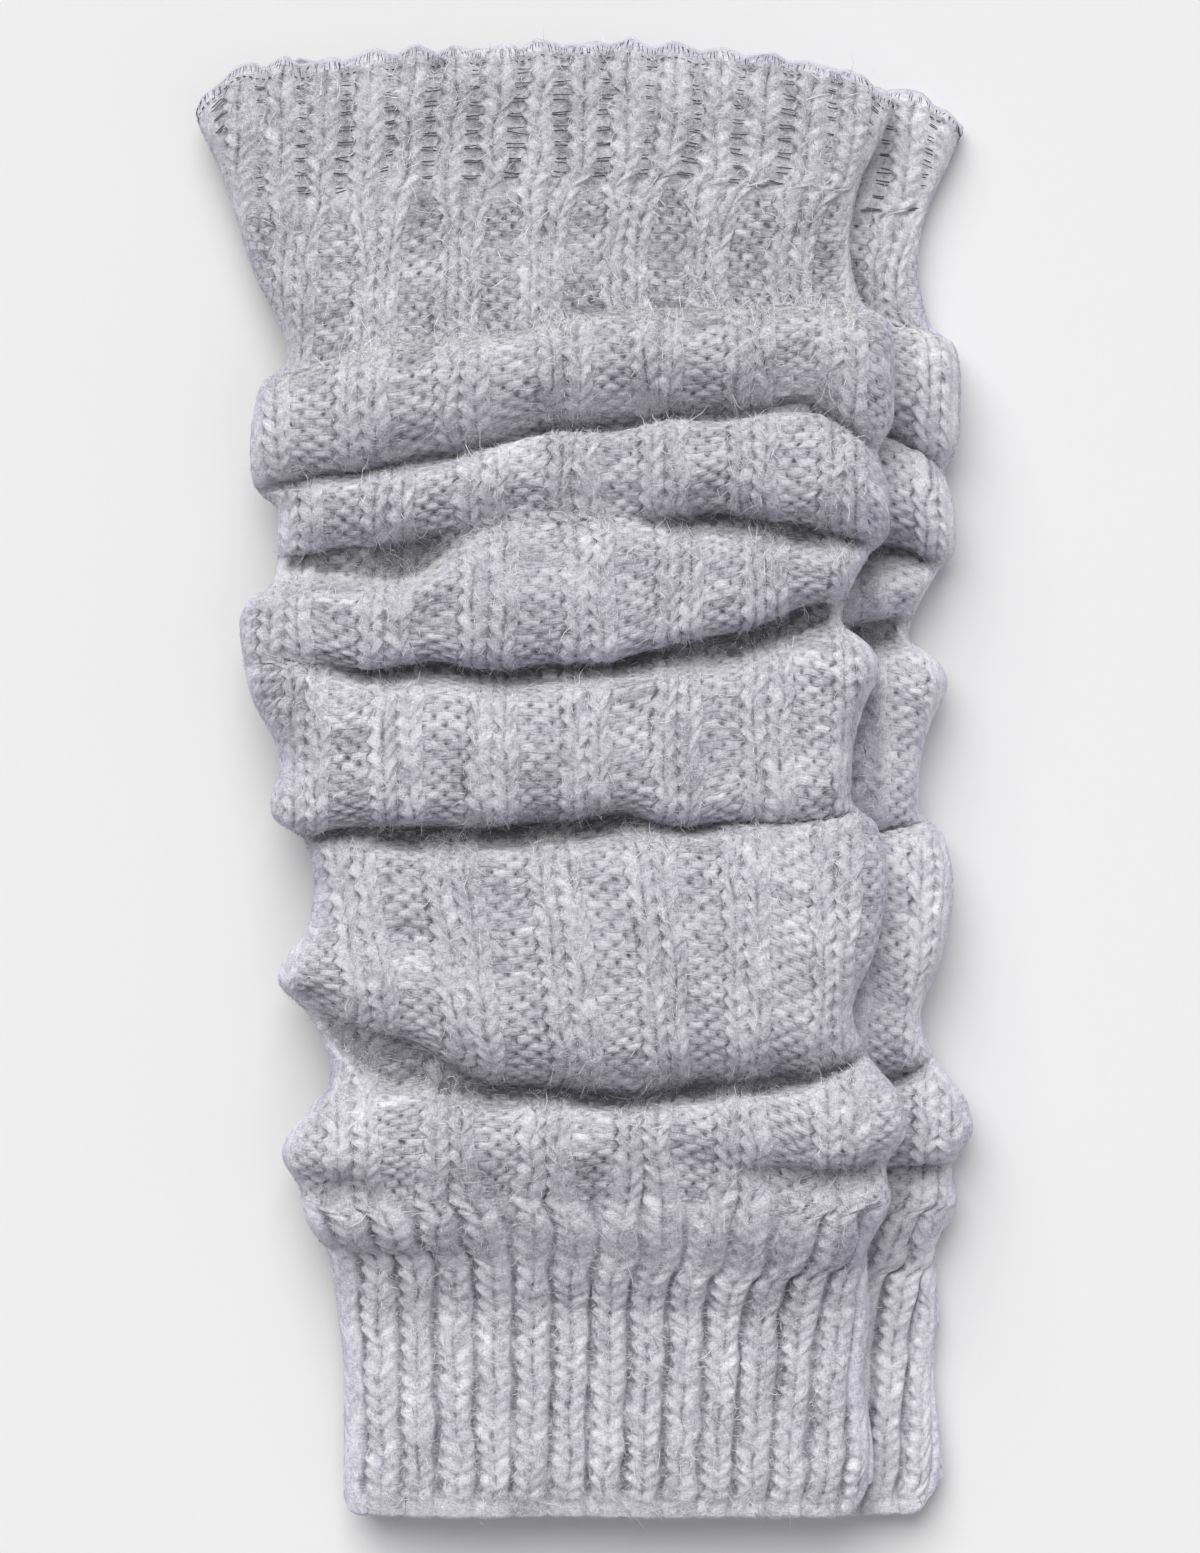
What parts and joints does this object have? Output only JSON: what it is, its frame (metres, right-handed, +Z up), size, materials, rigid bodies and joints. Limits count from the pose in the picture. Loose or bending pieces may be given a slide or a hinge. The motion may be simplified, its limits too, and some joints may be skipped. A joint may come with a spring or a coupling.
{
  "type": "pair of slouched knitted leg warmers",
  "caption": "Pair of light grey rib-knit wool leg warmers, slouched into soft rolls and laid flat one on the other, with elastic top bands and ribbed ankle cuffs",
  "frame": {"origin": "centre of the pair's outline, on the surface it lies on", "axes": "+X to the right across the tubes, +Y towards the top bands, +Z up"},
  "size_m": [0.1932, 0.3656, 0.0426],
  "materials": {
    "band_knit": "heathered brushed wool in 1x1 rib with fine elastic thread",
    "leg_knit": "heathered brushed wool in 2x2 rib",
    "cuff_knit": "heathered brushed wool in close 1x1 rib"
  },
  "bodies": {
    "root": {"upper_band": "band_knit", "upper_leg": "leg_knit", "upper_cuff": "cuff_knit", "lower_band": "band_knit", "lower_leg": "leg_knit", "lower_cuff": "cuff_knit"}
  },
  "joints": []
}
